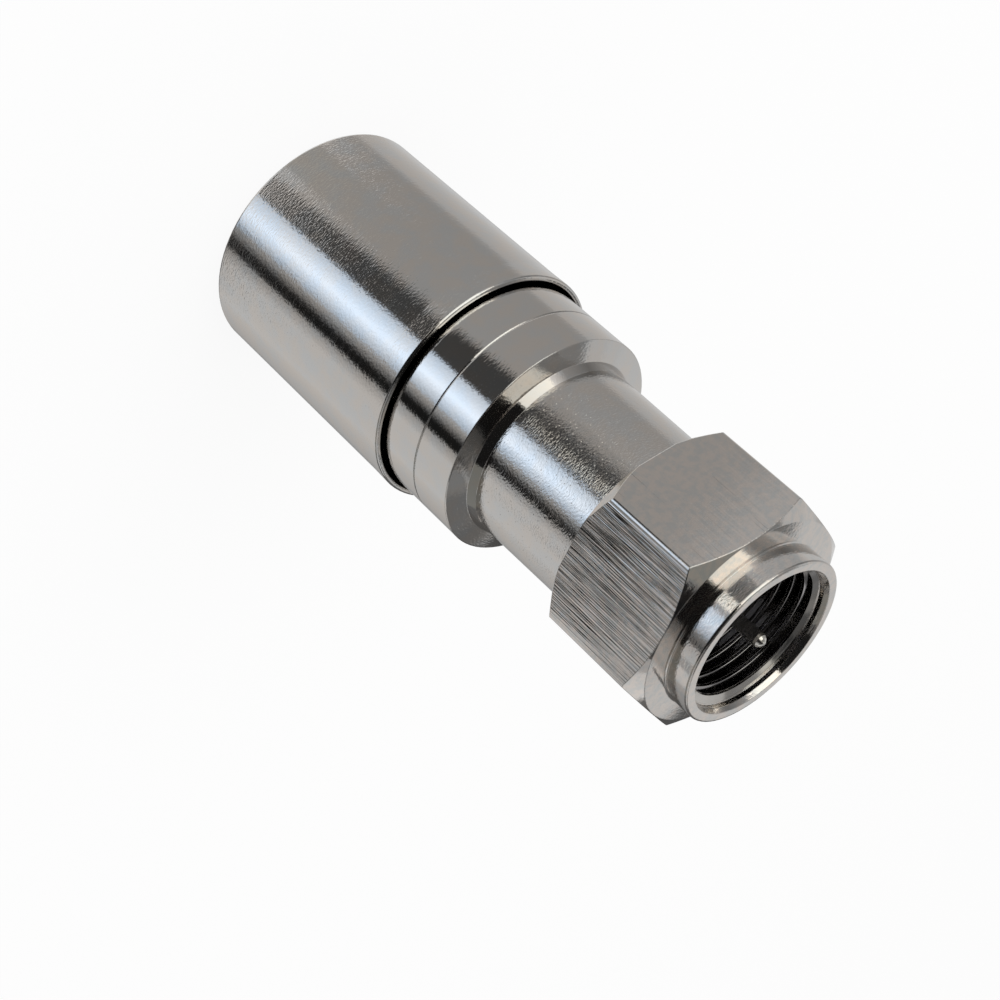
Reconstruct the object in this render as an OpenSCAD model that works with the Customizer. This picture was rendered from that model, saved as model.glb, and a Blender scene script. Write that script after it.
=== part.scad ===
// Coaxial F connector with a captive hexagon nut, a compression sleeve and a seated centre pin.
// The axis is Z and points out of the nut. Z is 0 at the rear face of the sleeve. Sizes are in millimetres.

/* [Compression sleeve] */
// Outside diameter of the sleeve
sleeve_d = 16; // [15.8:0.1:16.4]
// Length from the rear face to the lip
sleeve_len = 16.7; // [16.4:0.1:17]
// Diameter of the hole that the cable goes in by
cable_entry_d = 10.8; // [10.6:0.1:11]
// Thickness of the rear wall round that hole
rear_wall = 1.6; // [1.2:0.1:1.8]
// How far the sleeve moves up the body when it is compressed
travel = 5.4; // [5:0.1:5.6]
// How much wider the lip is than the sleeve, on the radius
lip_flare = 0.04; // [0:0.01:0.1]

/* [Connector body] */
// Diameter of the wide section in front of the sleeve
wide_d = 15; // [14.8:0.1:15.1]
// Length of the wide section from its rear rounding to its step
wide_len = 5.25; // [5:0.05:6]
// Diameter of the neck at the step
neck_d = 11.94; // [11.5:0.02:12.2]
// Diameter of the neck at the nut
neck_front_d = 11.8; // [11.4:0.1:11.9]
// Length of the neck from the step to the nut
neck_len = 8.02; // [7.5:0.02:9]
// Length of the tapered face of the step
step_len = 0.88; // [0.6:0.02:1.2]
// Outside diameter of the thin skirt inside the sleeve
skirt_d = 14.6; // [14.4:0.1:14.6]
// Inside diameter of that skirt
skirt_bore_d = 13.2; // [12.8:0.1:13.4]
// Diameter of the bore that holds the insulator
core_bore_d = 7.7; // [7.6:0.05:7.8]
// Diameter of the spigot that the nut turns on
spigot_d = 7; // [6.8:0.1:7.2]

/* [Coupling nut] */
// Size across the flats of the hexagon
nut_flats = 13.9; // [13.6:0.1:14.2]
// Diameter that the corners of the hexagon are turned to
nut_corner_d = 16; // [15.4:0.1:16.1]
// Length of the hexagon with both its chamfers
nut_hex_len = 7.64; // [7:0.02:8]
// Diameter of the round collar at the front
collar_d = 11.2; // [10.8:0.1:11.6]
// Length of the collar
collar_len = 1.69; // [1.5:0.01:2.5]
// Outer diameter of the thread inside the nut
thread_major_d = 9.55; // [9.5:0.01:9.6]
// Diameter of the plain mouth in front of the thread
mouth_d = 9.7; // [9.6:0.05:9.9]
// Depth of the plain mouth
mouth_depth = 0.62; // [0.5:0.02:1.2]
// Thickness of the inner lip that keeps the nut on the body
nut_lip = 1.2; // [1:0.05:1.4]

/* [Insulator and pin] */
// Diameter of the two flanges
flange_d = 7.6; // [7.4:0.05:7.6]
// Length of the rear flange
rear_flange_len = 2.7; // [2.2:0.1:3.2]
// Diameter of the waist between the flanges
waist_d = 6.2; // [5.8:0.1:6.6]
// Length of the waist
waist_len = 5.9; // [5.5:0.1:5.9]
// Length of the front flange
front_flange_len = 2.2; // [1.8:0.1:2.2]
// Diameter of the stub that shows inside the nut
stub_d = 5; // [4.6:0.1:5]
// Length of the stub
stub_len = 3.5; // [3.2:0.1:3.5]
// Diameter of the pin
pin_d = 0.9; // [0.8:0.05:1.1]
// Length of the pin in front of the stub
pin_out = 7.3; // [6.5:0.1:8]
// Diameter of the cable conductor that the rear socket takes
conductor_d = 1.63; // [1.4:0.01:1.8]

/* [Hidden] */
$fn = 96;
edge_steps = 4;
// Small gaps and edge breaks that several pieces share
run_gap = 0.08;
guide_gap = 0.06;
mouth_gap = 0.2;
end_gap = 0.1;
axial_gap = 0.05;
seat_gap = 0.05;
edge = 0.15;
fine_edge = 0.06;
flat_side_count = 6;

// Radii
sleeve_r = sleeve_d / 2;
entry_r = cable_entry_d / 2;
wide_r = wide_d / 2;
skirt_r = skirt_d / 2;
skirt_bore_r = skirt_bore_d / 2;
neck_r = neck_d / 2;
neck_front_r = neck_front_d / 2;
core_r = core_bore_d / 2;
spigot_r = spigot_d / 2;
guide_r = skirt_r + guide_gap;
mouth_bore_r = wide_r + mouth_gap;
lip_r = sleeve_r + lip_flare;
lead_r = wide_r - 0.06;
flange_r = flange_d / 2;
waist_r = waist_d / 2;
stub_r = stub_d / 2;
stub_hole_r = stub_r + seat_gap;
pin_r = pin_d / 2;
socket_wall = 0.55;
socket_bore_r = conductor_d / 2 + seat_gap;
socket_r = socket_bore_r + socket_wall;
collar_r = collar_d / 2;
corner_r = nut_corner_d / 2;
thread_r = thread_major_d / 2;
mouth_r = mouth_d / 2;
nut_bore_r = spigot_r + run_gap;

// Stations along the axis, from the rear face to the front
lip_z = sleeve_len;
lead_z = lip_z - 0.1;
lead_len = 0.75;
wide_z = lead_z + lead_len;
step_z = wide_z + wide_len;
step_face_len = 0.3;
step_face_r = neck_r + 0.21;
neck_z = step_z + step_len;
shoulder_z = neck_z + neck_len;
nut_z = shoulder_z + end_gap;
nut_floor_z = nut_z + nut_lip;
hex_front_z = nut_z + nut_hex_len;
hex_face_len = 0.15;
collar_z = hex_front_z + hex_face_len;
nut_front_z = collar_z + collar_len;
ring_z = nut_floor_z + axial_gap;
ring_len = 1;
face_z = ring_z + ring_len;
flange_front_z = face_z - stub_len;
waist_front_z = flange_front_z - front_flange_len;
waist_rear_z = waist_front_z - waist_len;
insulator_z = waist_rear_z - rear_flange_len;
pin_tip_z = face_z + pin_out;

// Sleeve and grip ring
ring_seat_len = 2;
grip_len = 5;
skirt_z = rear_wall + ring_seat_len + travel + 0.4;
guide_end_z = lead_z - travel - 0.15;
guide_taper = 0.2;
flare_len = 1.6;
lip_round = (lip_r - mouth_bore_r) * 0.45;
lip_inner_round = (lip_r - mouth_bore_r) * 0.25;
grip_seat_z = rear_wall + ring_seat_len;
grip_front_z = rear_wall + grip_len;
grip_shoulder_r = skirt_bore_r + 0.3;
grip_nose_r = skirt_bore_r - 0.5;
grip_bore_r = entry_r + 0.3;
grip_taper_len = 1.2;

// Long shallow rounding from the ring in the sleeve's mouth up to the wide section
lead_drop = wide_r - lead_r;
lead_round = (lead_drop * lead_drop + lead_len * lead_len) / (2 * lead_drop);
lead_angle = asin(lead_len / lead_round);
scribe_z = wide_z + 2.29;
scribe_w = 0.06;
scribe_depth = 0.04;

// Skirt, post and the seat of the post
skirt_lead = 0.4;
skirt_lead_len = 1.2;
post_wall = 0.5;
post_bore_r = core_r + 0.2;
post_r = post_bore_r + post_wall;
post_flange_r = 5.2;
post_flange_len = 2;
post_seat_z = 19;
post_flange_z = post_seat_z - post_flange_len;
post_z = travel + 1;
barb_height = 0.4;
barb_len = 1.2;
barb_back = 0.1;
cavity_z = post_flange_z - 0.6;

// Nut chamfers, as turned on the hexagon
nut_rear_flat_r = 7.07;
nut_front_flat_r = 6.93;
front_chamfer_slope = 0.61;
rear_chamfer_z = nut_z + (corner_r - nut_rear_flat_r);
front_chamfer_z = hex_front_z - (corner_r - nut_front_flat_r) * front_chamfer_slope;
hex_round = 0.3;
groove = 0.05;
collar_round = 0.14;
mouth_bevel = 0.13;
mouth_bevel_len = 0.32;
mouth_floor_len = (mouth_r - thread_r) * 0.4;
retainer_r = spigot_r - 0.3;
retainer_outer_r = spigot_r + 0.7;

// Rounded edges of the moulded insulator, and the inside of the pin
flange_round = 0.35;
stub_round = 0.18;
pin_cone_len = 0.6;
pin_cone_z = waist_front_z - pin_cone_len;
shank_r = pin_r + 0.25;
shank_out = 0.05;
shank_cone_len = 0.3;
shank_cone_z = face_z + shank_out - shank_cone_len;
face_hole_r = pin_r + (shank_r - pin_r) * shank_out / shank_cone_len;
socket_depth = 5.9;
socket_point = 0.4;

// Points of a rounded edge about a centre, between two angles
function round_edge(cr, cz, r, a0, a1) =
    [for (k = [0:edge_steps]) let (a = a0 + (a1 - a0) * k / edge_steps) [cr + r * cos(a), cz + r * sin(a)]];

// A turned piece, from the points of half its section
module turned(points) {
    rotate_extrude() polygon(points);
}

// Outline of a hexagon with rounded corners, from the distance of its sharp corners
function rounded_hexagon(sharp_r, rounding) =
    let (side_angle = 360 / flat_side_count, centre_r = sharp_r - rounding / cos(side_angle / 2))
    [for (k = [1:flat_side_count]) let (a = side_angle * k, half = side_angle / 2)
        each round_edge(centre_r * cos(a), centre_r * sin(a), rounding, a - half, a + half)];

// Hexagon nut with turned corners, a round collar, a bevelled plain mouth and an inner lip
module coupling_nut() {
    hex_r = nut_flats / 2 / cos(180 / flat_side_count);
    color([0.66, 0.64, 0.62])
    intersection() {
        turned(concat(
            [[nut_bore_r, nut_z + edge], [nut_bore_r + edge, nut_z], [nut_rear_flat_r, nut_z],
             [corner_r, rear_chamfer_z], [corner_r, front_chamfer_z], [nut_front_flat_r, hex_front_z],
             [collar_r + groove, collar_z], [collar_r - groove, collar_z + groove],
             [collar_r, collar_z + 3 * groove]],
            round_edge(collar_r - collar_round, nut_front_z - collar_round, collar_round, 0, 90),
            [[mouth_r + mouth_bevel, nut_front_z], [mouth_r, nut_front_z - mouth_bevel_len],
             [mouth_r, nut_front_z - mouth_depth], [thread_r, nut_front_z - mouth_depth - mouth_floor_len],
             [thread_r, nut_floor_z], [nut_bore_r + fine_edge, nut_floor_z],
             [nut_bore_r, nut_floor_z - fine_edge]]
        ));
        translate([0, 0, nut_z - 1])
        rotate([0, 0, 180 / flat_side_count])
        linear_extrude(nut_front_z - nut_z + 2)
        polygon(rounded_hexagon(hex_r, hex_round));
    }
}

// Ring pressed on the end of the spigot, which keeps the nut on and is the front contact face
module front_ring() {
    color([0.7, 0.68, 0.66])
    turned([[retainer_r, ring_z], [retainer_outer_r - edge, ring_z], [retainer_outer_r, ring_z + edge],
            [retainer_outer_r, face_z - edge], [retainer_outer_r - edge, face_z], [retainer_r, face_z]]);
}

// Turned body: skirt inside the sleeve, wide section, step, neck and the spigot under the nut
module connector_body() {
    color([0.62, 0.6, 0.58])
    turned(concat(
        [[skirt_bore_r + skirt_lead, skirt_z], [skirt_r - fine_edge, skirt_z], [skirt_r, skirt_z + edge],
         [skirt_r, lead_z]],
        round_edge(wide_r - lead_round, wide_z, lead_round, -lead_angle, 0),
        [[wide_r, scribe_z - scribe_w], [wide_r - scribe_depth, scribe_z], [wide_r, scribe_z + scribe_w],
         [wide_r, step_z - fine_edge / 2], [wide_r - fine_edge, step_z],
         [step_face_r, step_z + step_face_len], [neck_r, neck_z],
         [neck_front_r, shoulder_z - edge], [neck_front_r - edge, shoulder_z],
         [spigot_r, shoulder_z], [spigot_r, ring_z], [retainer_r, ring_z],
         [retainer_r, face_z - fine_edge], [retainer_r - fine_edge, face_z],
         [stub_hole_r + fine_edge, face_z], [stub_hole_r, face_z - fine_edge],
         [stub_hole_r, flange_front_z + seat_gap], [core_r, flange_front_z + seat_gap],
         [core_r, post_seat_z + edge], [core_r + edge, post_seat_z],
         [post_flange_r, post_seat_z], [post_flange_r, cavity_z],
         [skirt_bore_r - skirt_lead, cavity_z], [skirt_bore_r, cavity_z - skirt_lead],
         [skirt_bore_r, skirt_z + skirt_lead_len]]
    ));
}

// Thin barbed tube that goes under the braid of the cable
module inner_post() {
    color([0.68, 0.66, 0.62])
    turned([[post_bore_r, post_z + edge], [post_bore_r + edge, post_z],
            [post_r - edge, post_z], [post_r + barb_height, post_z + barb_len],
            [post_r + barb_height, post_z + barb_len + barb_back],
            [post_r, post_z + barb_len + 2 * barb_back],
            [post_r, post_flange_z], [post_flange_r - edge, post_flange_z],
            [post_flange_r, post_flange_z + edge], [post_flange_r, post_seat_z],
            [post_bore_r + edge, post_seat_z], [post_bore_r, post_seat_z - edge]]);
}

// Sleeve that slides up the body, with a flared lip, a guide bore and a rear wall with the cable entry
module compression_sleeve() {
    color([0.6, 0.58, 0.56])
    turned(concat(
        [[entry_r, 2 * edge], [entry_r + 2 * edge, 0]],
        round_edge(sleeve_r - edge, edge, edge, -90, 0),
        [[sleeve_r, lip_z - flare_len]],
        round_edge(lip_r - lip_round, lip_z - lip_round, lip_round, 0, 90),
        round_edge(mouth_bore_r + lip_inner_round, lip_z - lip_inner_round, lip_inner_round, 90, 180),
        [[mouth_bore_r, guide_end_z], [guide_r, guide_end_z - guide_taper],
         [guide_r, rear_wall], [entry_r, rear_wall]]
    ));
}

// Plastic ring pressed in the sleeve, whose nose closes on the jacket of the cable
module grip_ring() {
    color([0.86, 0.85, 0.8])
    turned([[grip_bore_r, rear_wall], [guide_r, rear_wall], [guide_r, grip_seat_z],
            [grip_shoulder_r, grip_seat_z], [grip_nose_r + edge / 2, grip_seat_z + grip_taper_len],
            [grip_nose_r, grip_front_z - edge], [grip_nose_r - edge, grip_front_z],
            [grip_bore_r + edge, grip_front_z], [grip_bore_r, grip_front_z - edge]]);
}

// Moulded insulator: rear flange, waist, front flange and the stub round the pin
module pin_insulator() {
    color([0.9, 0.91, 0.92])
    turned(concat(
        [[socket_r, insulator_z]],
        round_edge(flange_r - flange_round, insulator_z + flange_round, flange_round, -90, 0),
        round_edge(flange_r - flange_round, waist_rear_z - flange_round, flange_round, 0, 90),
        [[waist_r + edge, waist_rear_z], [waist_r, waist_rear_z + edge],
         [waist_r, waist_front_z - edge], [waist_r + edge, waist_front_z]],
        round_edge(flange_r - flange_round, waist_front_z + flange_round, flange_round, -90, 0),
        round_edge(flange_r - flange_round, flange_front_z - flange_round, flange_round, 0, 90),
        [[stub_r, flange_front_z]],
        round_edge(stub_r - stub_round, face_z - stub_round, stub_round, 0, 90),
        [[face_hole_r, face_z], [shank_r, shank_cone_z], [shank_r, waist_front_z], [socket_r, pin_cone_z]]
    ));
}

// Centre pin with a round tip, and a rear socket for the conductor of the cable
module center_pin() {
    color([0.74, 0.72, 0.68])
    turned(concat(
        [[socket_bore_r + fine_edge, insulator_z], [socket_r, insulator_z], [socket_r, pin_cone_z],
         [shank_r, waist_front_z], [shank_r, shank_cone_z], [pin_r, face_z + shank_out]],
        round_edge(0, pin_tip_z - pin_r, pin_r, 0, 90),
        [[0, insulator_z + socket_depth + socket_point], [socket_bore_r, insulator_z + socket_depth],
         [socket_bore_r, insulator_z + fine_edge]]
    ));
}

coupling_nut();
front_ring();
connector_body();
inner_post();
compression_sleeve();
grip_ring();
pin_insulator();
center_pin();
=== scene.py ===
"""Looks of the F connector: a nickel-plated compression connector with a white pin insert.

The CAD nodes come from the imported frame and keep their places. This script gives each one a
procedural finish, adds the ridges of the coupling thread, and sets the floor, the light and the
camera of the photograph. Lengths are in metres, and the connector's axis is Z.
"""

import logging
import math
from collections.abc import Mapping
from dataclasses import dataclass
from enum import Enum

import bmesh
import bpy
from mathutils import Matrix, Vector


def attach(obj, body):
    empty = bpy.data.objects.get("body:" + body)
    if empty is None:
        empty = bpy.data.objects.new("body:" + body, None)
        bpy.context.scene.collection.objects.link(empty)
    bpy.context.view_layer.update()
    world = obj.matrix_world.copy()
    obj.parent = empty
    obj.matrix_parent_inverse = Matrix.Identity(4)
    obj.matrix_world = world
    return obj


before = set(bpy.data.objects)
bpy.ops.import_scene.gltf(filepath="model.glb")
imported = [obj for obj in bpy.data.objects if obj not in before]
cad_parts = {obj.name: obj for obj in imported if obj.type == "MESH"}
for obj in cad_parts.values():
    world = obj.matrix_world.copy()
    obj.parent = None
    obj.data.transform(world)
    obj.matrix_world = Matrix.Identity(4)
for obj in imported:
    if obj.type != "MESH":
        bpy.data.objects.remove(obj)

log = logging.getLogger("f_connector")
MM = 0.001
HALF_TURN = 180.0
WHITE = (1.0, 1.0, 1.0, 1.0)

Color = tuple[float, float, float]
Triple = tuple[float, float, float]
Span = tuple[float, float]
Socket = bpy.types.NodeSocket
Sockets = Mapping[str, Socket]


def node_mesh(name: str) -> bpy.types.Object:
    """Returns the CAD node of that name."""
    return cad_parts[name]


def link_object(name: str, data: bpy.types.ID) -> bpy.types.Object:
    """Makes an object and links it to the scene.

    Args:
        name: The object's name.
        data: Its mesh, camera or lamp.

    Returns:
        The new object.
    """
    made = bpy.data.objects.new(name, data)
    bpy.context.scene.collection.objects.link(made)
    return made


class Graph:
    """A thin hand on one node tree, which adds nodes and links them."""

    def __init__(self, tree: bpy.types.NodeTree) -> None:
        """Takes the tree that the nodes go in."""
        self.tree = tree

    def add(self, kind: str, inputs: dict | None = None, **settings: object) -> bpy.types.Node:
        """Adds one node.

        Args:
            kind: The node's type name, without the ShaderNode in front.
            inputs: Values or output sockets for its inputs, by name or by number.
            settings: Properties of the node.

        Returns:
            The new node.
        """
        made = self.tree.nodes.new("ShaderNode" + kind)
        for key, value in settings.items():
            setattr(made, key, value)
        for key, value in (inputs or {}).items():
            self.feed(made.inputs[key], value)
        return made

    def feed(self, socket: Socket, value: object) -> None:
        """Links an output to a socket, or sets the socket's own value.

        Args:
            socket: The input socket.
            value: An output socket, or a plain value.
        """
        if isinstance(value, bpy.types.NodeSocket):
            self.tree.links.new(value, socket)
        else:
            socket.default_value = value

    def math(self, operation: str, first: object, second: object = 0.0) -> Socket:
        """Returns the output of a Math node."""
        return self.add("Math", {0: first, 1: second}, operation=operation).outputs[0]

    def less(self, value: object) -> Socket:
        """Returns what a share lacks to 1."""
        return self.math("SUBTRACT", 1.0, value)

    def total(self, *terms: tuple[object, object]) -> Socket:
        """Adds values up, each times its own weight.

        Args:
            terms: Pairs of a value and its weight.

        Returns:
            The sum.
        """
        result = None
        for value, weight in terms:
            part = self.math("MULTIPLY", value, weight)
            result = part if result is None else self.math("ADD", result, part)
        return result

    def dot(self, vector: Socket, axis: Triple) -> Socket:
        """Returns the reach of a vector along an axis."""
        return self.add("VectorMath", {0: vector, 1: axis}, operation="DOT_PRODUCT").outputs["Value"]

    def height_of(self, vector: Socket) -> Socket:
        """Returns the Z of a vector."""
        return self.add("SeparateXYZ", {0: vector}).outputs["Z"]

    def scaled(self, vector: Socket, along: object, across: object) -> Socket:
        """Scales a vector.

        Args:
            vector: The vector.
            along: The scale along Z.
            across: The scale along X and Y.

        Returns:
            The scaled vector.
        """
        scale = self.add("CombineXYZ", {"X": across, "Y": across, "Z": along}).outputs[0]
        return self.add("VectorMath", {0: vector, 1: scale}, operation="MULTIPLY").outputs[0]

    def millimetres(self) -> Socket:
        """Returns the place on the part, in millimetres."""
        return self.scaled(self.add("TexCoord").outputs["Object"], along=1 / MM, across=1 / MM)

    def radius(self, vector: Socket) -> Socket:
        """Returns the distance of a place from the axis."""
        level = self.scaled(vector, along=0.0, across=1.0)
        return self.add("VectorMath", {0: level}, operation="LENGTH").outputs["Value"]

    def noise(self, place: Socket, scale: float = 1.0, detail: float = 2.0, rough: float = 0.5) -> Socket:
        """Returns the value of a Noise texture."""
        inputs = {"Vector": place, "Scale": scale, "Detail": detail, "Roughness": rough}
        return self.add("TexNoise", inputs).outputs[0]

    def cells(self, place: Socket, scale: float) -> Socket:
        """Returns the distance to the nearest cell point of a Voronoi texture."""
        inputs = {"Vector": place, "Scale": scale, "Randomness": 1.0}
        return self.add("TexVoronoi", inputs, feature="F1").outputs["Distance"]

    def smooth(self, value: object, low: float, high: float) -> Socket:
        """Returns a smooth step that goes from 0 at low to 1 at high."""
        inputs = {"Value": value, "From Min": low, "From Max": high}
        return self.add("MapRange", inputs, interpolation_type="SMOOTHSTEP").outputs[0]

    def mix(self, factor: object, first: object, second: object) -> Socket:
        """Returns a mix of two colours."""
        return self.add("MixRGB", {0: factor, 1: first, 2: second}).outputs[0]


class Effects:
    """The surface effects that several finishes share, each built once as a node group."""

    def __init__(self) -> None:
        """Builds every group."""
        self.turned = self._turned_grain()
        self.peened = self._peened_skin()
        self.drawn = self._drawn_lines()
        self.tone = self._plating_tone()
        self.wear = self._handling_wear()

    @staticmethod
    def _open(
        name: str, inputs: dict[str, float], outputs: tuple[str, ...]
    ) -> tuple[Graph, Sockets, Sockets]:
        """Starts a group.

        Args:
            name: The group's name.
            inputs: Name and default of each number that goes in.
            outputs: Name of each number that comes out.

        Returns:
            The graph, the group's input sockets by name, and its output sockets by name.
        """
        tree = bpy.data.node_groups.new(name, "ShaderNodeTree")
        for label, default in inputs.items():
            socket = tree.interface.new_socket(name=label, in_out="INPUT", socket_type="NodeSocketFloat")
            socket.default_value = default
        for label in outputs:
            tree.interface.new_socket(name=label, in_out="OUTPUT", socket_type="NodeSocketFloat")
        given = tree.nodes.new("NodeGroupInput").outputs
        made = tree.nodes.new("NodeGroupOutput").inputs
        return Graph(tree), given, made

    def _turned_grain(self) -> bpy.types.NodeTree:
        """Builds what a lathe leaves: close rings, and short uneven strokes round the part.

        Returns:
            The node group.
        """
        graph, given, made = self._open(
            "turned_grain",
            {"Rings per mm": 8.0, "Strokes per mm": 4.0, "Stroke stretch": 2.5, "Stroke share": 0.8},
            ("Height", "Mask"),
        )
        # Height and radius are added up, so that the rings go on over cones and end faces.
        whole = graph.millimetres()
        path = graph.math("ADD", graph.height_of(whole), graph.radius(whole))
        lift = graph.add("CombineXYZ", {"Z": path}).outputs[0]
        level = graph.scaled(whole, along=0.0, across=1.0)
        place = graph.add("VectorMath", {0: level, 1: lift}, operation="ADD").outputs[0]
        rings = graph.noise(graph.scaled(place, along=given["Rings per mm"], across=0.12))
        pace = given["Strokes per mm"]
        close = graph.math("MULTIPLY", pace, given["Stroke stretch"])
        strokes = graph.noise(graph.scaled(place, along=close, across=pace), detail=1.5, rough=0.6)
        share = given["Stroke share"]
        graph.feed(made["Height"], graph.total((strokes, share), (rings, graph.less(share))))
        graph.feed(made["Mask"], graph.smooth(rings, low=0.35, high=0.65))
        return graph.tree

    def _peened_skin(self) -> bpy.types.NodeTree:
        """Builds the fine orange-peel skin of barrel-plated metal, with a few deeper pits.

        Returns:
            The node group.
        """
        graph, given, made = self._open(
            "peened_skin", {"Bumps per mm": 6.0, "Stretch": 1.0, "Pits": 0.4}, ("Height", "Mask")
        )
        pace = given["Bumps per mm"]
        close = graph.math("MULTIPLY", pace, given["Stretch"])
        place = graph.scaled(graph.millimetres(), along=close, across=pace)
        skin = graph.noise(place)
        clear_of_pit = graph.smooth(graph.cells(place, scale=0.45), low=0.0, high=0.16)
        graph.feed(made["Height"], graph.total((skin, 1.0), (clear_of_pit, given["Pits"])))
        graph.feed(made["Mask"], graph.smooth(skin, low=0.4, high=0.6))
        return graph.tree

    def _drawn_lines(self) -> bpy.types.NodeTree:
        """Builds the straight lines that drawing leaves along a hexagonal bar.

        Returns:
            The node group.
        """
        graph, given, made = self._open(
            "drawn_lines", {"Lines per mm": 9.0, "Breaks per mm": 0.14}, ("Height",)
        )
        place = graph.scaled(graph.millimetres(), given["Breaks per mm"], given["Lines per mm"])
        graph.feed(made["Height"], graph.noise(place, rough=0.45))
        return graph.tree

    def _plating_tone(self) -> bpy.types.NodeTree:
        """Builds the slow change from warm to cool that thin nickel shows, as a mask.

        Returns:
            The node group.
        """
        graph, given, made = self._open("plating_tone", {"Clouds per mm": 0.5}, ("Mask",))
        pace = given["Clouds per mm"]
        place = graph.scaled(graph.millimetres(), along=pace, across=pace)
        clouds = graph.noise(place, detail=4.0, rough=0.55)
        graph.feed(made["Mask"], graph.smooth(clouds, low=0.36, high=0.66))
        return graph.tree

    def _handling_wear(self) -> bpy.types.NodeTree:
        """Builds the smears and dots that handling leaves, as a mask.

        Returns:
            The node group.
        """
        graph, given, made = self._open("handling_wear", {"Marks per mm": 1.1}, ("Mask",))
        pace = given["Marks per mm"]
        place = graph.scaled(graph.millimetres(), along=pace, across=pace)
        clouds = graph.noise(place, scale=0.6, detail=4.0, rough=0.6)
        smears = graph.smooth(clouds, low=0.48, high=0.7)
        dots = graph.less(graph.smooth(graph.cells(place, scale=2.6), low=0.05, high=0.14))
        graph.feed(made["Mask"], graph.math("MAXIMUM", smears, dots))
        return graph.tree


@dataclass(frozen=True)
class Peening:
    """The orange-peel skin of a barrel-plated piece.

    Attributes:
        depth: The height of the bumps, in millimetres.
        start: Where the skin sets in, along the axis.
        stretch: How much closer the bumps lie along the axis than round it.
        pits: The depth of the pits, as a share of the bumps' height.
        ease: Half the length over which the skin sets in.
    """

    depth: float
    start: float
    stretch: float = 1.8
    pits: float = 0.4
    ease: float = 0.3 * MM


@dataclass(frozen=True)
class DrawnFlats:
    """The flats of a hexagon, which keep the surface of the drawn bar.

    Attributes:
        line_depth: The depth of the drawn lines, in millimetres.
        roughness: The roughness of the flats.
        crown: How fast the flats fall with the square of the radius, in mm a square millimetre.
        inner: The radii between which turned faces give way to the flats.
        corner: The radii between which the lines fade towards the corners.
        tilt: The shares of Z in the normal between which a face stops being a flat.
        grain_depth: The height of the grain under the lines, in millimetres.
        grain_per_mm: How many bumps of that grain a millimetre has.
        grain_pits: The depth of its pits, as a share of the bumps' height.
    """

    line_depth: float
    roughness: float
    crown: float
    inner: Span
    corner: Span
    tilt: Span = (0.05, 0.2)
    grain_depth: float = 0.001
    grain_per_mm: float = 11.0
    grain_pits: float = 0.2


@dataclass(frozen=True)
class PaintedBoreShade:
    """Painted shade on the inside of a bore: a darker colour deep in it stands in for the shade there.

    Attributes:
        color: The colour painted on as shade.
        top: Where it ends, along the axis.
        radius: The radius inside which it lies.
        edge: The width of its outer edge.
        fade: The length over which it ends.
    """

    color: Color
    top: float
    radius: float = 4.85 * MM
    edge: float = 0.03 * MM
    fade: float = 0.25 * MM


@dataclass(frozen=True)
class Metal:
    """A plated finish on turned metal.

    Attributes:
        name: The material's name.
        warm: The warmer tone of the plating.
        cool: The cooler tone of the plating.
        roughness: The roughness between the marks.
        spread: How much the turning marks add to the roughness.
        wear_share: What share of that spread the handling marks add.
        grain_depth: The depth of the turning marks, in millimetres.
        strokes_per_mm: How many turning strokes a millimetre has.
        clouds_per_mm: How many changes of tone a millimetre has.
        edge_wear: The radius to which sharp edges look worn.
        peening: The orange-peel skin, if it has one.
        flats: The drawn flats, if it has any.
        bore: The shade painted inside the bore, if it has one.
    """

    name: str
    warm: Color
    cool: Color
    roughness: float = 0.06
    spread: float = 0.04
    wear_share: float = 0.6
    grain_depth: float = 0.007
    strokes_per_mm: float = 4.0
    clouds_per_mm: float = 0.5
    edge_wear: float = 0.0
    peening: Peening | None = None
    flats: DrawnFlats | None = None
    bore: PaintedBoreShade | None = None


@dataclass(frozen=True)
class Moulding:
    """A moulded plastic finish.

    Attributes:
        name: The material's name.
        color: The lighter tone.
        shade: The darker tone.
        roughness: The least roughness.
        grain_depth: The height of the moulded grain, in millimetres.
        bumps_per_mm: How many bumps of that grain a millimetre has.
        pits: The depth of its pits, as a share of the bumps' height.
        spread: How much the grain adds to the roughness.
        bleed: The share of the light that goes through the skin.
        bleed_reach: How far red, green and blue light go in it.
    """

    name: str
    color: Color
    shade: Color
    roughness: float
    grain_depth: float
    bumps_per_mm: float
    pits: float = 0.1
    spread: float = 0.1
    bleed: float = 0.15
    bleed_reach: Triple = (0.6 * MM, 0.6 * MM, 0.7 * MM)


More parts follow.
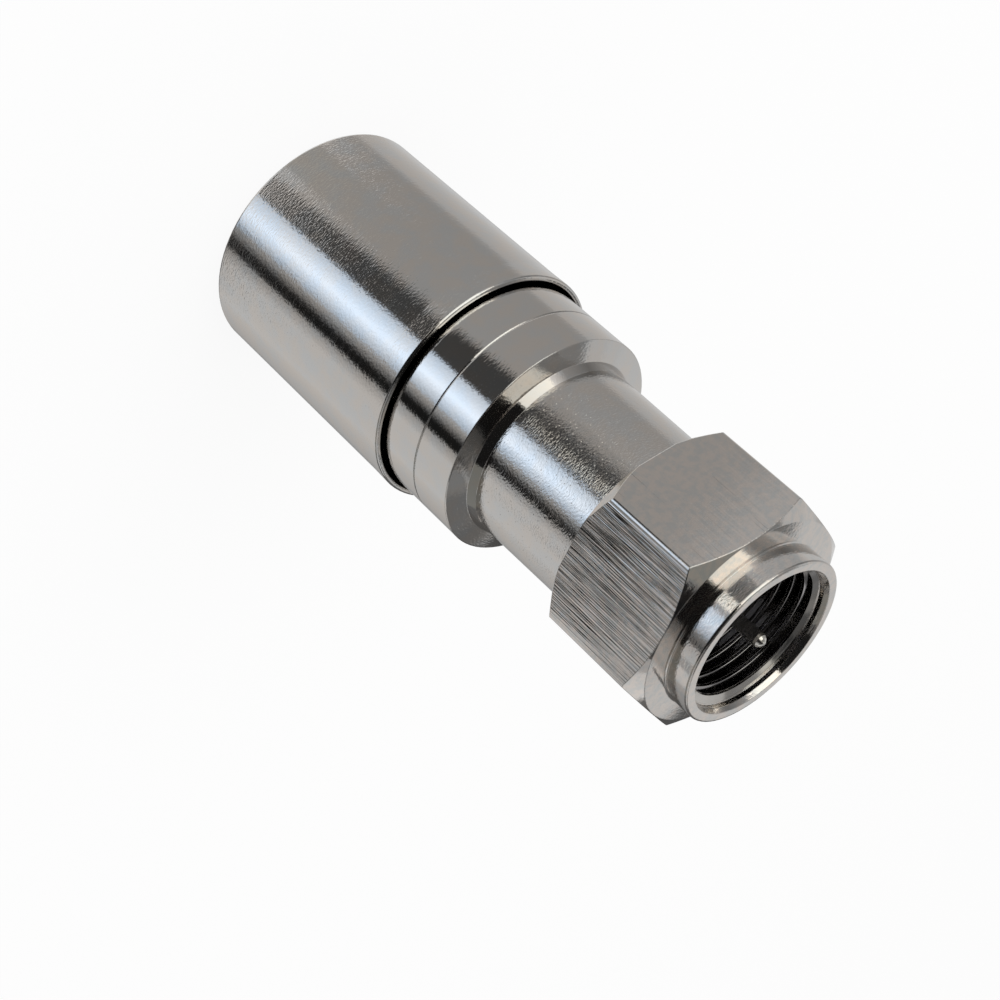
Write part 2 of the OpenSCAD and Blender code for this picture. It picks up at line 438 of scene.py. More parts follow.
class Dresser:
    """Makes the materials and puts them on the pieces."""

    bevel_samples: int = 6

    def __init__(self, effects: Effects) -> None:
        """Takes the shared effects."""
        self.effects = effects

    @staticmethod
    def _start(name: str) -> tuple[bpy.types.Material, Graph, bpy.types.Node]:
        """Starts a material.

        Args:
            name: The material's name.

        Returns:
            The material, its graph and its shader.
        """
        material = bpy.data.materials.new(name)
        material.use_nodes = True
        return material, Graph(material.node_tree), material.node_tree.nodes["Principled BSDF"]

    @staticmethod
    def _group(graph: Graph, tree: bpy.types.NodeTree, **values: float) -> bpy.types.Node:
        """Places a shared effect.

        Args:
            graph: The material's graph.
            tree: The effect's node group.
            values: The material's own values for it, whose names use _ for a space.

        Returns:
            The group's node.
        """
        made = graph.add("Group", node_tree=tree)
        for key, value in values.items():
            made.inputs[key.replace("_", " ")].default_value = value
        return made

    def _bump(self, graph: Graph, shader: bpy.types.Node, height: Socket, edge: float = 0.0) -> None:
        """Feeds a height in millimetres to the shader's normal, and breaks sharp edges.

        Args:
            graph: The material's graph.
            shader: The shader.
            height: The height.
            edge: The radius to which the edges look worn, in metres.
        """
        made = graph.add("Bump", {"Height": height, "Strength": 1.0, "Distance": MM})
        if edge:
            worn = graph.add("Bevel", {"Radius": edge}, samples=self.bevel_samples)
            graph.feed(made.inputs["Normal"], worn.outputs[0])
        graph.feed(shader.inputs["Normal"], made.outputs[0])

    def metal(self, finish: Metal) -> bpy.types.Material:
        """Makes a plated metal.

        Args:
            finish: The finish to make.

        Returns:
            The material.
        """
        material, graph, shader = self._start(finish.name)
        shader.inputs["Metallic"].default_value = 1.0
        graph.feed(shader.inputs["Base Color"], self._plated_color(graph, finish))
        turned = self._group(graph, self.effects.turned, Strokes_per_mm=finish.strokes_per_mm)
        wear = self._group(graph, self.effects.wear).outputs["Mask"]
        marks = (turned.outputs["Mask"], finish.spread), (wear, finish.spread * finish.wear_share)
        gloss = graph.math("ADD", graph.total(*marks), finish.roughness)
        height = graph.math("MULTIPLY", turned.outputs["Height"], finish.grain_depth)
        if finish.peening:
            height = self._peened(graph, finish.peening, height)
        if finish.flats:
            height, gloss = self._drawn_flats(graph, finish.flats, height, gloss)
        graph.feed(shader.inputs["Roughness"], gloss)
        self._bump(graph, shader, height, finish.edge_wear)
        return material

    def _plated_color(self, graph: Graph, finish: Metal) -> Socket:
        """Mixes the two tones of the plating, and the painted shade inside the bore where there is one.

        Args:
            graph: The material's graph.
            finish: The finish.

        Returns:
            The colour.
        """
        tone = self._group(graph, self.effects.tone, Clouds_per_mm=finish.clouds_per_mm)
        color = graph.mix(tone.outputs["Mask"], (*finish.warm, 1.0), (*finish.cool, 1.0))
        if finish.bore:
            # Painted shade: the inside of the bore is darkened up to near its mouth.
            color = graph.mix(self._bore_shade_mask(graph, finish.bore), color, (*finish.bore.color, 1.0))
        return color

    @staticmethod
    def _bore_shade_mask(graph: Graph, bore: PaintedBoreShade) -> Socket:
        """Finds where the shade is painted inside a bore.

        Args:
            graph: The material's graph.
            bore: The painted shade of the bore.

        Returns:
            A mask that is 1 inside.
        """
        place = graph.millimetres()
        outside = graph.smooth(graph.radius(place), bore.radius / MM, (bore.radius + bore.edge) / MM)
        above = graph.smooth(graph.height_of(place), (bore.top - bore.fade) / MM, bore.top / MM)
        return graph.math("MULTIPLY", graph.less(outside), graph.less(above))

    def _peened(self, graph: Graph, peening: Peening, height: Socket) -> Socket:
        """Adds the orange-peel skin to a height.

        Args:
            graph: The material's graph.
            peening: The skin.
            height: The height of the turning marks.

        Returns:
            The new height.
        """
        skin = self._group(graph, self.effects.peened, Stretch=peening.stretch, Pits=peening.pits)
        bumps = graph.math("MULTIPLY", skin.outputs["Height"], peening.depth)
        along = graph.height_of(graph.add("TexCoord").outputs["Object"])
        share = graph.smooth(along, peening.start - peening.ease, peening.start + peening.ease)
        return graph.total((height, 1.0), (bumps, share))

    def _drawn_flats(
        self, graph: Graph, flats: DrawnFlats, height: Socket, gloss: Socket
    ) -> tuple[Socket, Socket]:
        """Lays drawn lines on the flats of a hexagon and keeps the turned marks off them.

        Args:
            graph: The material's graph.
            flats: The flats.
            height: The height of the turned faces.
            gloss: The roughness of the turned faces.

        Returns:
            The new height and the new roughness.
        """
        lines = self._group(graph, self.effects.drawn).outputs["Height"]
        grain = self._group(
            graph, self.effects.peened, Bumps_per_mm=flats.grain_per_mm, Pits=flats.grain_pits
        )
        tilt = graph.math("ABSOLUTE", graph.height_of(graph.add("TexCoord").outputs["Normal"]))
        upright = graph.less(graph.smooth(tilt, *flats.tilt))
        reach = graph.radius(graph.millimetres())
        outer = graph.smooth(reach, *(radius / MM for radius in flats.inner))
        unworn = graph.less(graph.smooth(reach, *(radius / MM for radius in flats.corner)))
        marks = graph.total(
            (graph.math("MULTIPLY", lines, unworn), flats.line_depth),
            (grain.outputs["Height"], flats.grain_depth),
            (graph.math("POWER", reach, 2.0), -flats.crown),
        )
        flat = graph.math("MULTIPLY", upright, outer)
        turned = graph.less(flat)
        height = graph.total((height, turned), (marks, flat))
        gloss = graph.total((gloss, turned), (flat, flats.roughness))
        return height, gloss

    def moulding(self, finish: Moulding) -> bpy.types.Material:
        """Makes a moulded plastic.

        Args:
            finish: The finish to make.

        Returns:
            The material.
        """
        material, graph, shader = self._start(finish.name)
        shader.inputs["Subsurface Weight"].default_value = finish.bleed
        shader.inputs["Subsurface Radius"].default_value = finish.bleed_reach
        shader.inputs["Subsurface Scale"].default_value = 1.0
        tone = self._group(graph, self.effects.tone).outputs["Mask"]
        color = graph.mix(tone, (*finish.color, 1.0), (*finish.shade, 1.0))
        graph.feed(shader.inputs["Base Color"], color)
        skin = self._group(
            graph, self.effects.peened, Bumps_per_mm=finish.bumps_per_mm, Pits=finish.pits
        )
        gloss = graph.math("MULTIPLY", skin.outputs["Mask"], finish.spread)
        graph.feed(shader.inputs["Roughness"], graph.math("ADD", gloss, finish.roughness))
        self._bump(graph, shader, graph.math("MULTIPLY", skin.outputs["Height"], finish.grain_depth))
        return material

    @staticmethod
    def put(piece: bpy.types.Object, material: bpy.types.Material) -> None:
        """Gives a piece one material in place of what it had.

        Args:
            piece: The piece.
            material: Its material.
        """
        piece.data.materials.clear()
        piece.data.materials.append(material)
        log.info("%s: %s", piece.name, material.name)


@dataclass
class CouplingNut:
    """The captive nut, with the helical ridge of its thread.

    The lead is the shallow cone behind the plain mouth, which cuts the front of the ridge.

    Attributes:
        thread_major_r: The radius of the thread's root, on which the ridge stands.
        thread_crest_r: The radius of the ridge's crest.
        pitch: The length of one turn along the axis.
        foot_share: Half the ridge's width at the root, as a share of the pitch.
        thread_from: Where the middle of the ridge starts, along the axis.
        lead_z: Where the lead has the root's radius, along the axis.
        lead_slope: How far the lead goes forward for each length outwards.
        seat_depth: How deep the ridge's foot is sunk into the nut.
        crest_round: The radius of the crest's corners.
        flank_angle: The angle between a flank and a plane across the axis.
        least_growth: The ridge's height at its start, as a share of its full height.
        steps_per_turn: The sections in one turn.
        growth_steps: The sections over which the ridge grows to its full height.
        corner_steps: The steps round a corner of the crest.
        flank_steps: The steps down a flank.
        weld_gap: The distance within which points become one.
        sharp_angle: The angle from which an edge is shaded as a sharp one.
        finish: The finish of the nut.
        thread_finish: The finish of the ridge.
    """

    thread_major_r: float = 4.775 * MM
    thread_crest_r: float = 4.345 * MM
    pitch: float = 25.4 / 32 * MM
    foot_share: float = 7 / 16
    thread_from: float = 33.75 * MM
    lead_z: float = 40.43 * MM
    lead_slope: float = 0.4
    seat_depth: float = 0.02 * MM
    crest_round: float = 0.045 * MM
    flank_angle: float = math.radians(30)
    least_growth: float = 0.02
    steps_per_turn: int = 96
    growth_steps: int = 32
    corner_steps: int = 4
    flank_steps: int = 3
    weld_gap: float = 0.0005 * MM
    sharp_angle: float = math.radians(28)
    finish: Metal = Metal(
        name="nickel_nut",
        warm=(0.72, 0.665, 0.62),
        cool=(0.63, 0.625, 0.61),
        grain_depth=0.004,
        clouds_per_mm=2.2,
        edge_wear=0.08 * MM,
        peening=Peening(depth=0.004, start=39.3 * MM),
        flats=DrawnFlats(
            line_depth=0.030,
            roughness=0.03,
            crown=0.005,
            inner=(6.3 * MM, 6.6 * MM),
            corner=(7.84 * MM, 7.93 * MM),
        ),
        # Painted shade darkens the nut's bore behind the mouth.
        bore=PaintedBoreShade(color=(0.20, 0.19, 0.19), top=40.3 * MM),
    )
    thread_finish: Metal = Metal(
        name="nickel_thread",
        warm=(0.62, 0.59, 0.55),
        cool=(0.60, 0.59, 0.58),
        roughness=0.08,
        grain_depth=0.001,
        # Painted shade darkens the thread's ridges behind the lead.
        bore=PaintedBoreShade(color=(0.36, 0.35, 0.35), top=40.2 * MM),
    )

    @property
    def half_foot(self) -> float:
        """Half the ridge's width at its foot, which is sunk into the nut by the seat's depth."""
        return self.pitch * self.foot_share + self.seat_depth * math.tan(self.flank_angle)

    def _lead_at(self, radius: float) -> float:
        """Returns where the lead's cone has that radius, along the axis."""
        return self.lead_z + self.lead_slope * (radius - self.thread_major_r)

    def _ridge_section(self, growth: float) -> list[Span]:
        """Draws the ridge's section.

        Args:
            growth: How far the ridge stands out, from 0 to 1.

        Returns:
            Radius and height along the axis of each point, from the rear foot to the front foot.
        """
        crest = self.thread_major_r - (self.thread_major_r - self.thread_crest_r) * growth
        foot = self.thread_major_r + self.seat_depth
        half_crest = self.half_foot - (foot - crest) * math.tan(self.flank_angle)
        rounding = self.crest_round * growth
        turn = math.pi / 2 - self.flank_angle
        front = []
        for step in range(self.corner_steps + 1):
            angle = turn * step / self.corner_steps
            radius = crest + rounding * (1 - math.cos(angle))
            height = half_crest - rounding * (math.tan(turn / 2) - math.sin(angle))
            front.append((radius, height))
        start, rise = front[-1]
        for step in range(1, self.flank_steps + 1):
            share = step / self.flank_steps
            front.append((start + (foot - start) * share, rise + (self.half_foot - rise) * share))
        rear = [(radius, -height) for radius, height in reversed(front)]
        return rear + front

    def _cut_by_lead(self, section: list[Span]) -> list[Span]:
        """Cuts a section with the cone of the lead.

        Args:
            section: Radius and place along the axis of each point.

        Returns:
            The section, with the points in front of the cone drawn back to it.
        """
        foot, rear = section[0]
        gap = self._lead_at(foot) - rear
        tip = foot - max(gap, 0.0) / (self.lead_slope + math.tan(self.flank_angle))
        cut = []
        for radius, level in section:
            if level > self._lead_at(radius):
                radius = max(radius, tip)
                level = self._lead_at(radius)
            cut.append((radius, level))
        return cut

    def _helix(self) -> list[list[Triple]]:
        """Winds the section up the bore, low at first and cut by the lead at last.

        Returns:
            The points of each section, from the rear one to the front one.
        """
        length = self.lead_z + self.half_foot - self.thread_from
        rows = []
        for step in range(int(length / self.pitch * self.steps_per_turn) + 1):
            angle = 2 * math.pi * step / self.steps_per_turn
            base = self.thread_from + self.pitch * step / self.steps_per_turn
            grown = math.sin(min(step / self.growth_steps, 1.0) * math.pi / 2)
            section = self._ridge_section(max(self.least_growth, grown))
            cut = self._cut_by_lead([(radius, base + height) for radius, height in section])
            rows.append([(r * math.cos(angle), r * math.sin(angle), level) for r, level in cut])
        return rows

    def build_thread(self) -> bpy.types.Object:
        """Builds the ridge as one closed skin round the helix.

        Returns:
            The new object.
        """
        shape = bmesh.new()
        rows = [[shape.verts.new(point) for point in row] for row in self._helix()]
        count = len(rows[0])
        for low, high in zip(rows, rows[1:]):
            for here in range(count):
                after = (here + 1) % count
                shape.faces.new((low[here], low[after], high[after], high[here]))
        shape.faces.new(rows[0][::-1])
        shape.faces.new(rows[-1])
        bmesh.ops.remove_doubles(shape, verts=shape.verts, dist=self.weld_gap)
        bmesh.ops.recalc_face_normals(shape, faces=shape.faces)
        mesh = bpy.data.meshes.new("nut_thread")
        shape.to_mesh(mesh)
        shape.free()
        mesh.shade_smooth()
        mesh.set_sharp_from_angle(angle=self.sharp_angle)
        return link_object("nut_thread", mesh)

    def dress(self, dresser: Dresser) -> None:
        """Builds the thread and gives it and the nut their finishes.

        Args:
            dresser: What makes and puts on the materials.
        """
        thread = self.build_thread()
        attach(thread, "nut")
        dresser.put(thread, dresser.metal(self.thread_finish))
        dresser.put(node_mesh("coupling_nut"), dresser.metal(self.finish))


@dataclass
class Body:
    """The turned body with its front ring and its inner post."""

    finish: Metal = Metal(
        name="nickel_body",
        warm=(0.67, 0.63, 0.59),
        cool=(0.635, 0.63, 0.62),
        roughness=0.035,
        grain_depth=0.006,
        clouds_per_mm=0.8,
        edge_wear=0.07 * MM,
        peening=Peening(depth=0.009, start=23.7 * MM, pits=0.7),
    )
    ring_finish: Metal = Metal(
        name="nickel_ring",
        warm=(0.68, 0.65, 0.61),
        cool=(0.66, 0.65, 0.64),
        roughness=0.12,
        grain_depth=0.003,
    )
    post_finish: Metal = Metal(
        name="tin_post",
        warm=(0.70, 0.67, 0.62),
        cool=(0.68, 0.67, 0.66),
        roughness=0.20,
        grain_depth=0.005,
    )

    def dress(self, dresser: Dresser) -> None:
        """Gives the body, the ring and the post their finishes.

        Args:
            dresser: What makes and puts on the materials.
        """
        dresser.put(node_mesh("connector_body"), dresser.metal(self.finish))
        dresser.put(node_mesh("front_ring"), dresser.metal(self.ring_finish))
        dresser.put(node_mesh("inner_post"), dresser.metal(self.post_finish))


@dataclass
class Sleeve:
    """The compression sleeve with the grip ring inside it."""

    finish: Metal = Metal(
        name="nickel_sleeve",
        warm=(0.665, 0.625, 0.585),
        cool=(0.625, 0.625, 0.62),
        clouds_per_mm=0.7,
        edge_wear=0.06 * MM,
        peening=Peening(depth=0.003, start=-1.0 * MM, stretch=1.0),
    )
    ring_finish: Moulding = Moulding(
        name="acetal_grip",
        color=(0.80, 0.79, 0.73),
        shade=(0.76, 0.75, 0.69),
        roughness=0.38,
        grain_depth=0.004,
        bumps_per_mm=4.0,
    )

    def dress(self, dresser: Dresser) -> None:
        """Gives the sleeve and its ring their finishes."""
        dresser.put(node_mesh("compression_sleeve"), dresser.metal(self.finish))
        dresser.put(node_mesh("grip_ring"), dresser.moulding(self.ring_finish))


@dataclass
class PinInsert:
    """The white insulator with the centre pin in it."""

    white: Moulding = Moulding(
        name="white_insulator",
        color=(0.80, 0.82, 0.86),
        shade=(0.77, 0.80, 0.85),
        roughness=0.30,
        grain_depth=0.002,
        bumps_per_mm=3.0,
    )
    pin_finish: Metal = Metal(
        name="tin_pin",
        warm=(0.72, 0.69, 0.64),
        cool=(0.70, 0.69, 0.67),
        roughness=0.16,
        grain_depth=0.002,
    )

    def dress(self, dresser: Dresser) -> None:
        """Gives the insulator and the pin their finishes."""
        dresser.put(node_mesh("pin_insulator"), dresser.moulding(self.white))
        dresser.put(node_mesh("center_pin"), dresser.metal(self.pin_finish))


class Tint(Enum):
    """The tints of the room's panels, as shares of red, green and blue."""

    PLAIN = (1.0, 1.0, 1.0)
    COOL = (0.86, 1.0, 1.18)
    WARM = (1.01, 1.0, 0.93)
    BUFF = (1.02, 1.0, 0.98)


@dataclass(frozen=True)
class Panel:
    """One upright panel of the room, placed by where a round upright wall mirrors it.

    That place is the wall's side angle in degrees, from 0 at its upper right edge in the view to 180
    at its lower left edge.

    Attributes:
        start: The side angle where it starts.
        end: The side angle where it ends.
        first: Its brightness at the start.
        last: Its brightness at the end, with an even change between.
        tint: Its tint.
    """

    start: float
    end: float
    first: float
    last: float
    tint: Tint = Tint.PLAIN


@dataclass(frozen=True)
class Ring:
    """A ring of panels, for mirrored rays from a given slope on.

    Attributes:
        slope: The least share of +Z in the ray's way, from -1, straight down, to 1, straight up.
        ease: How far above and below that slope it blends with the ring below it.
        panels: Its panels, by side angle.
        leans: Whether its panels lean instead of standing upright.
    """

    slope: float
    ease: float
    panels: tuple[Panel, ...]
    leans: bool = False


UNDER_RING = Ring(
    slope=-1.0,
    ease=0.01,
    panels=(
        Panel(0, 20, 0.20, 0.30),
        Panel(20, 56, 0.90, 0.90),
        Panel(56, 76, 0.50, 0.50, Tint.WARM),
        Panel(76, 110, 0.90, 0.90),
        Panel(110, 180, 0.15, 0.20),
    ),
)
# The sleeve, the wide section, the neck and the rear of the flats mirror this ring.
FAR_RING = Ring(
    slope=-0.67,
    ease=0.015,
    leans=True,
    panels=(
        Panel(0, 10, 0.43, 0.59),
        Panel(10, 18, 0.63, 0.60),
        Panel(18, 35.2, 0.59, 0.50, Tint.BUFF),
        Panel(35.2, 40, 0.39, 0.35, Tint.BUFF),
        Panel(40, 77.8, 0.355, 0.375, Tint.BUFF),
        Panel(77.8, 93.8, 0.06, 0.065),
        Panel(93.8, 103, 0.80, 1.42, Tint.COOL),
        Panel(103, 111, 1.42, 0.62, Tint.COOL),
        Panel(111, 117, 0.46, 0.04),
        Panel(117, 122, 0.012, 0.012),
        Panel(122, 128, 0.38, 0.60),
        Panel(128, 150, 0.65, 0.67),
        Panel(150, 170, 0.64, 0.42, Tint.BUFF),
        Panel(170, 180, 0.33, 0.44),
    ),
)
# The front of the flats and the nut's collar mirror this one.
NEAR_RING = Ring(
    slope=-0.43,
    ease=0.012,
    panels=(
        Panel(0, 8, 0.30, 0.52),
        Panel(8, 28, 0.55, 0.62),
        Panel(28, 36, 0.58, 0.45),
        Panel(36, 69, 0.44, 0.51),
        Panel(69, 84, 0.22, 0.19),
        Panel(84, 91.3, 1.15, 1.20, Tint.WARM),
        Panel(91.3, 95.3, 0.42, 0.36),
        Panel(95.3, 103, 0.80, 0.92, Tint.COOL),
        Panel(103, 111, 0.88, 0.45, Tint.COOL),
        Panel(111, 119, 0.24, 0.12),
        Panel(119, 128.5, 0.50, 0.58),
        Panel(128.5, 135.5, 0.38, 0.38),
        Panel(135.5, 147, 0.66, 0.62),
        Panel(147, 164, 0.42, 0.30),
        Panel(164, 180, 0.28, 0.14),
    ),
)
# Cones and end faces are what mirrors the rings from here up.
LEVEL_RING = Ring(
    slope=-0.32,
    ease=0.03,
    panels=(
        Panel(0, 12, 0.70, 0.62),
        Panel(12, 40, 0.56, 0.19),
        Panel(40, 56, 0.18, 0.32),
        Panel(56, 64, 0.40, 0.90),
        Panel(64, 84, 1.35, 1.10, Tint.WARM),
        Panel(84, 123, 0.01, 0.01),
        Panel(123, 150, 0.21, 0.25, Tint.WARM),
        Panel(150, 180, 0.16, 0.08),
    ),
)
HIGH_WALL = (
    Panel(24, 32, 0.58, 0.70),
    Panel(32, 50, 0.45, 0.33),
    Panel(50, 56, 0.45, 0.60),
    Panel(56, 84.5, 1.70, 1.60, Tint.WARM),
    Panel(84.5, 116, 0.01, 0.01),
    Panel(116, 127, 0.12, 0.34),
    Panel(127, 140, 0.44, 0.58),
    Panel(140, 150, 0.60, 0.56),
    Panel(150, 163, 0.52, 0.85),
)
HIGH_RING = Ring(
    slope=0.31,
    ease=0.03,
    panels=(
        Panel(0, 24, 0.66, 0.62),
        *HIGH_WALL,
        Panel(163, 174, 0.16, 0.16),
        Panel(174, 180, 0.64, 0.68),
    ),
)
SHELF_RING = Ring(
    slope=0.49,
    ease=0.015,
    panels=(
        Panel(0, 6.8, 0.16, 0.18),
        Panel(6.8, 24, 0.62, 0.58),
        *HIGH_WALL,
        Panel(163, 172.5, 0.18, 0.18),
        Panel(172.5, 180, 0.62, 0.56),
    ),
)
LEDGE_RING = Ring(
    slope=0.582,
    ease=0.006,
    panels=(
        Panel(0, 2.2, 0.01, 0.01),
        Panel(2.2, 5, 1.50, 1.50, Tint.WARM),
        Panel(5, 24, 0.57, 0.57),
        *HIGH_WALL,
        Panel(163, 172.5, 0.18, 0.18),
        Panel(172.5, 178, 0.60, 0.30),
        Panel(178, 180, 0.01, 0.01),
    ),
)
CEILING_RING = Ring(
    slope=0.68,
    ease=0.015,
    panels=(
        Panel(0, 3, 0.10, 0.14),
        Panel(3, 10, 0.46, 0.30),
        Panel(10, 60, 0.24, 0.28),
        Panel(60, 86, 0.95, 1.05, Tint.WARM),
        Panel(86, 118, 0.01, 0.01),
        Panel(118, 128, 0.10, 0.36),
        Panel(128, 150, 0.42, 0.30),
        Panel(150, 162, 0.46, 0.46),
        Panel(162, 175, 0.22, 0.25),
        Panel(175, 180, 0.14, 0.06),
    ),
)
TOP_RING = Ring(
    slope=0.775,
    ease=0.01,
    panels=(
        Panel(0, 4, 0.01, 0.01),
        Panel(4, 10, 0.80, 0.70, Tint.WARM),
        Panel(10, 48, 0.26, 0.30),
        Panel(48, 84.5, 1.10, 1.10, Tint.WARM),
        Panel(84.5, 118, 0.01, 0.01),
        Panel(118, 150, 0.10, 0.16),
        Panel(150, 172, 0.06, 0.10),
        Panel(172, 180, 0.04, 0.01),
    ),
)
CROWN_RING = Ring(
    slope=0.915,
    ease=0.015,
    panels=(
        Panel(0, 90, 0.29, 0.27, Tint.WARM),
        Panel(90, 160, 0.01, 0.01),
        Panel(160, 180, 0.20, 0.25),
    ),
)


@dataclass
class Studio:
    """The camera of the photograph, a plain pale floor and a room of light and dark panels.

    Attributes:
        camera_at: The camera's place.
        camera_right: The way to the right in the view.
        camera_up: The way up in the view.
        camera_back: The way out of the view, towards the camera.
        lens: The camera's focal length, in millimetres.
        sensor: The width of its sensor, in millimetres.
        nearest: The nearest that it sees.
        room_up: The level way from which a ray's bearing is measured.
        room_side: The level way of a bearing of 90 degrees.
        room_turn: How far the room is turned about the axis, in degrees.
        rings: The rings of panels, from the lowest up.
        panel_edge: Half the soft edge between two panels, in degrees.
        lean_slope: The slope at which leaning panels are at their own side angles.
        wall_lean: How far they move round, in degrees for a slope of 1.
        dark_lean: How much farther the dark panel moves.
        dark_rise: The side angles between which that sets in.
        dark_fall: The side angles between which it ends.
        soft_light: The light on dull surfaces.
        floor_half: Half the floor's width.
        floor_gap: How far the floor lies under the connector.
        floor_color: The floor's colour.
        floor_roughness: The floor's roughness.
        floor_glow: The share of plain white in what the camera sees of the floor.
        lamp_at: The lamp's place.
        lamp_aim: The place that it shines at.
        lamp_size: Its width.
        lamp_watts: Its power.
    """

    camera_at: Triple = (4.157 * MM, -104.070 * MM, 84.164 * MM)
    camera_right: Triple = (-0.687315, 0.368776, 0.625781)
    camera_up: Triple = (-0.726359, -0.348952, -0.592143)
    camera_back: Triple = (0.0, -0.861531, 0.507704)
    lens: float = 74.02
    sensor: float = 36.0
    nearest: float = 5 * MM
    room_up: Triple = (-0.473, -0.881, 0.0)
    room_side: Triple = (0.881, -0.473, 0.0)
    room_turn: float = 28.2
    rings: tuple[Ring, ...] = (
        UNDER_RING,
        FAR_RING,
        NEAR_RING,
        LEVEL_RING,
        HIGH_RING,
        SHELF_RING,
        LEDGE_RING,
        CEILING_RING,
        TOP_RING,
        CROWN_RING,
    )
    panel_edge: float = 0.5
    lean_slope: float = -0.54
    wall_lean: float = 8.0
    dark_lean: float = 44.0
    dark_rise: Span = (50.0, 76.0)
    dark_fall: Span = (88.0, 94.0)
    soft_light: Color = (0.85, 0.85, 0.85)
    floor_half: float = 1.5
    floor_gap: float = 0.01 * MM
    floor_color: Color = (0.9, 0.9, 0.9)
    floor_roughness: float = 0.9
    floor_glow: float = 0.88
    lamp_at: Triple = (-0.16, -0.12, 0.30)
    lamp_aim: Triple = (0.0, 0.0, 0.02)
    lamp_size: float = 0.25
    lamp_watts: float = 0.25

    def set_camera(self) -> None:
        """Makes the camera and makes it the scene's."""
        data = bpy.data.cameras.new("camera")
        data.lens = self.lens
        data.sensor_width = self.sensor
        data.clip_start = self.nearest
        camera = link_object("camera", data)
        columns = (self.camera_right, self.camera_up, self.camera_back)
        turn = Matrix([[column[row] for column in columns] for row in range(3)]).to_4x4()
        camera.matrix_world = Matrix.Translation(Vector(self.camera_at)) @ turn
        bpy.context.scene.camera = camera

    def _floor_material(self) -> bpy.types.Material:
        """Makes the floor's material, which glows for the camera so that the floor looks pale.

        Returns:
            The material.
        """
        material = bpy.data.materials.new("pale_floor")
        material.use_nodes = True
        graph = Graph(material.node_tree)
        shader = material.node_tree.nodes["Principled BSDF"]
        shader.inputs["Base Color"].default_value = (*self.floor_color, 1.0)
        shader.inputs["Roughness"].default_value = self.floor_roughness
        glow = graph.add("Emission", {"Color": WHITE, "Strength": 1.0})
        seen = graph.math("MULTIPLY", graph.add("LightPath").outputs["Is Camera Ray"], self.floor_glow)
        both = graph.add("MixShader", {0: seen, 1: shader.outputs[0], 2: glow.outputs[0]})
        graph.feed(material.node_tree.nodes["Material Output"].inputs["Surface"], both.outputs[0])
        return material

    def lay_floor(self) -> None:
        """Lays a pale floor that keeps the connector's soft shadow."""
        half = self.floor_half
        corners = [(-half, -half, 0), (half, -half, 0), (half, half, 0), (-half, half, 0)]
        mesh = bpy.data.meshes.new("floor")
        mesh.from_pydata(corners, [], [(0, 1, 2, 3)])
        mesh.materials.append(self._floor_material())
        floor = link_object("floor", mesh)
        floor.location.z = -self.floor_gap
        floor.visible_glossy = False

    def _ring_light(self, graph: Graph, side: Socket, ring: Ring) -> Socket:
        """Makes one ring of panels.

        Args:
            graph: The world's graph.
            side: The side angle, as a share of a half turn.
            ring: The ring to make.

        Returns:
            The ring's colour.
        """
        stops = []
        for panel in ring.panels:
            edges = (panel.start + self.panel_edge, panel.end - self.panel_edge)
            for angle, level in zip(edges, (panel.first, panel.last)):
                stops.append((angle / HALF_TURN, [level * share for share in panel.tint.value]))
        ramp = graph.add("ValToRGB", {0: side})
        elements = ramp.color_ramp.elements
        while len(elements) < len(stops):
            elements.new(0.5)
        for element, (place, color) in zip(elements, stops):
            element.position = place
            element.color = (*color, 1.0)
        return ramp.outputs[0]

    def _leaned(self, graph: Graph, side: Socket, slope: Socket) -> Socket:
        """Leans the panels of a ring, the dark one in the middle most.

        Args:
            graph: The world's graph.
            side: The side angle, as a share of a half turn.
            slope: The share of +Z in the ray's way.

        Returns:
            The side angle to look up.
        """
        rise = graph.smooth(side, *(angle / HALF_TURN for angle in self.dark_rise))
        fall = graph.smooth(side, *(angle / HALF_TURN for angle in self.dark_fall))
        dark = graph.math("MULTIPLY", rise, graph.less(fall))
        lean = graph.total((dark, self.dark_lean / HALF_TURN), (1.0, self.wall_lean / HALF_TURN))
        off = graph.math("SUBTRACT", slope, self.lean_slope)
        return graph.math("ADD", side, graph.math("MULTIPLY", off, lean))

    def _side_angle(self, graph: Graph, way: Socket) -> Socket:
        """Finds the side angle of the upright wall that mirrors a ray.

        A wall that turns by a degree turns the ray by two, so a half turn of the wall is a whole turn
        of the ray.

        Args:
            graph: The world's graph.
            way: The ray's way.

        Returns:
            The side angle, as a share of a half turn.
        """
        bearing = graph.math(
            "ARCTAN2", graph.dot(way, self.room_side), graph.dot(way, self.room_up)
        )
        turn = graph.math("MULTIPLY", bearing, 1 / (2 * math.pi))
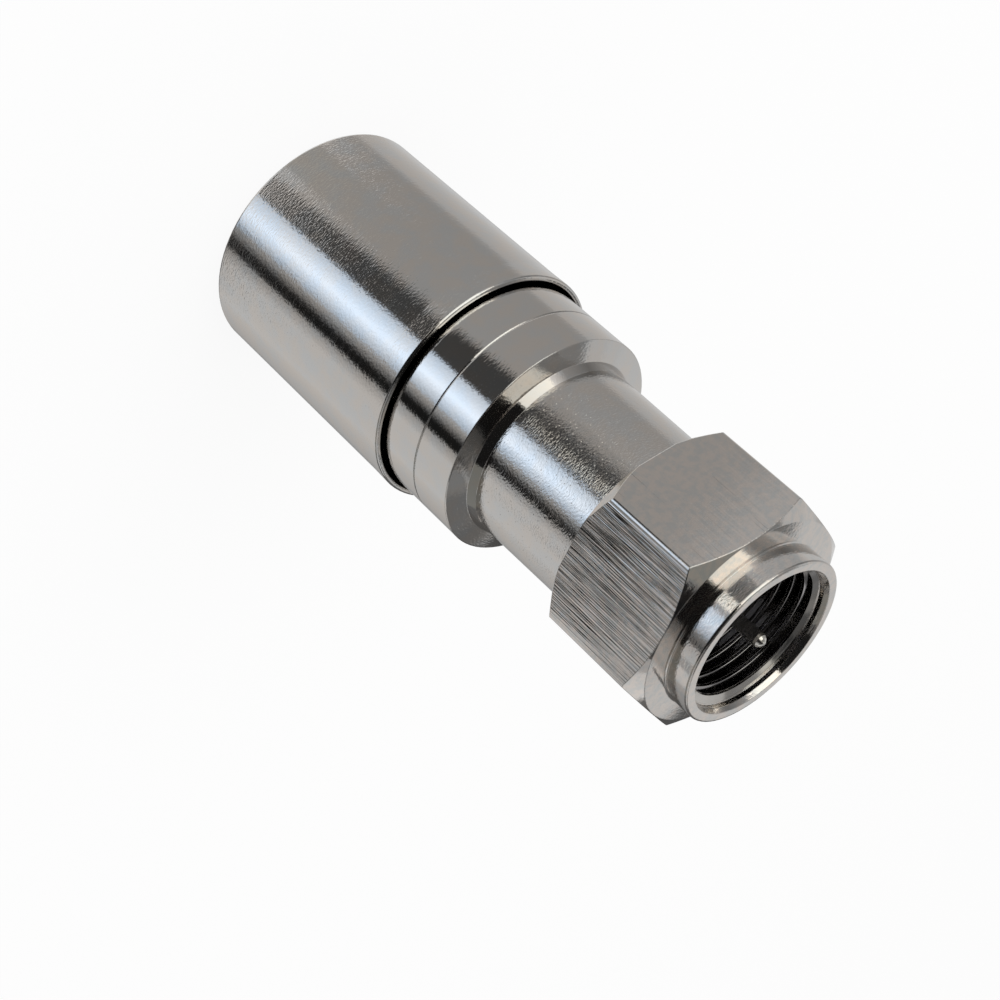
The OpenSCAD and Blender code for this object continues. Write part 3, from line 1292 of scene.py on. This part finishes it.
        # A half turn sets where the angle is 0, and the whole turn more keeps the sum above 0.
        start = 1.5 - self.room_turn / (2 * HALF_TURN)
        return graph.math("FRACT", graph.math("ADD", turn, start))

    def light_room(self) -> None:
        """Lights the room: white for the camera, rings of panels for the metal, soft elsewhere."""
        world = bpy.data.worlds.new("room")
        world.use_nodes = True
        bpy.context.scene.world = world
        graph = Graph(world.node_tree)
        way = graph.add("TexCoord").outputs["Generated"]
        side = self._side_angle(graph, way)
        slope = graph.height_of(way)
        mirror = None
        for ring in self.rings:
            looked_up = self._leaned(graph, side, slope) if ring.leans else side
            light = self._ring_light(graph, looked_up, ring)
            share = graph.smooth(slope, ring.slope - ring.ease, ring.slope + ring.ease)
            mirror = light if mirror is None else graph.mix(share, mirror, light)
        path = graph.add("LightPath").outputs
        lit = graph.mix(path["Is Glossy Ray"], (*self.soft_light, 1.0), mirror)
        back = world.node_tree.nodes["Background"]
        graph.feed(back.inputs["Color"], graph.mix(path["Is Camera Ray"], lit, WHITE))
        back.inputs["Strength"].default_value = 1.0

    def hang_lamp(self) -> None:
        """Hangs one wide soft lamp, which the metal doesn't mirror."""
        data = bpy.data.lights.new("key", "AREA")
        data.shape = "DISK"
        data.size = self.lamp_size
        data.energy = self.lamp_watts
        lamp = link_object("key", data)
        lamp.location = self.lamp_at
        lamp.rotation_euler = (Vector(self.lamp_aim) - lamp.location).to_track_quat("-Z", "Y").to_euler()
        lamp.visible_glossy = False

    def build(self) -> None:
        """Sets the camera, the floor, the room and the lamp."""
        self.set_camera()
        self.lay_floor()
        self.light_room()
        self.hang_lamp()
        bpy.context.scene.view_settings.view_transform = "Standard"


def main() -> None:
    """Builds the studio and dresses each sub-assembly."""
    logging.basicConfig(level=logging.INFO, format="%(message)s")
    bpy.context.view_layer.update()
    Studio().build()
    dresser = Dresser(Effects())
    for part in (CouplingNut(), Body(), Sleeve(), PinInsert()):
        part.dress(dresser)
        log.info("%s is dressed", type(part).__name__)


if __name__ == "__main__":
    main()
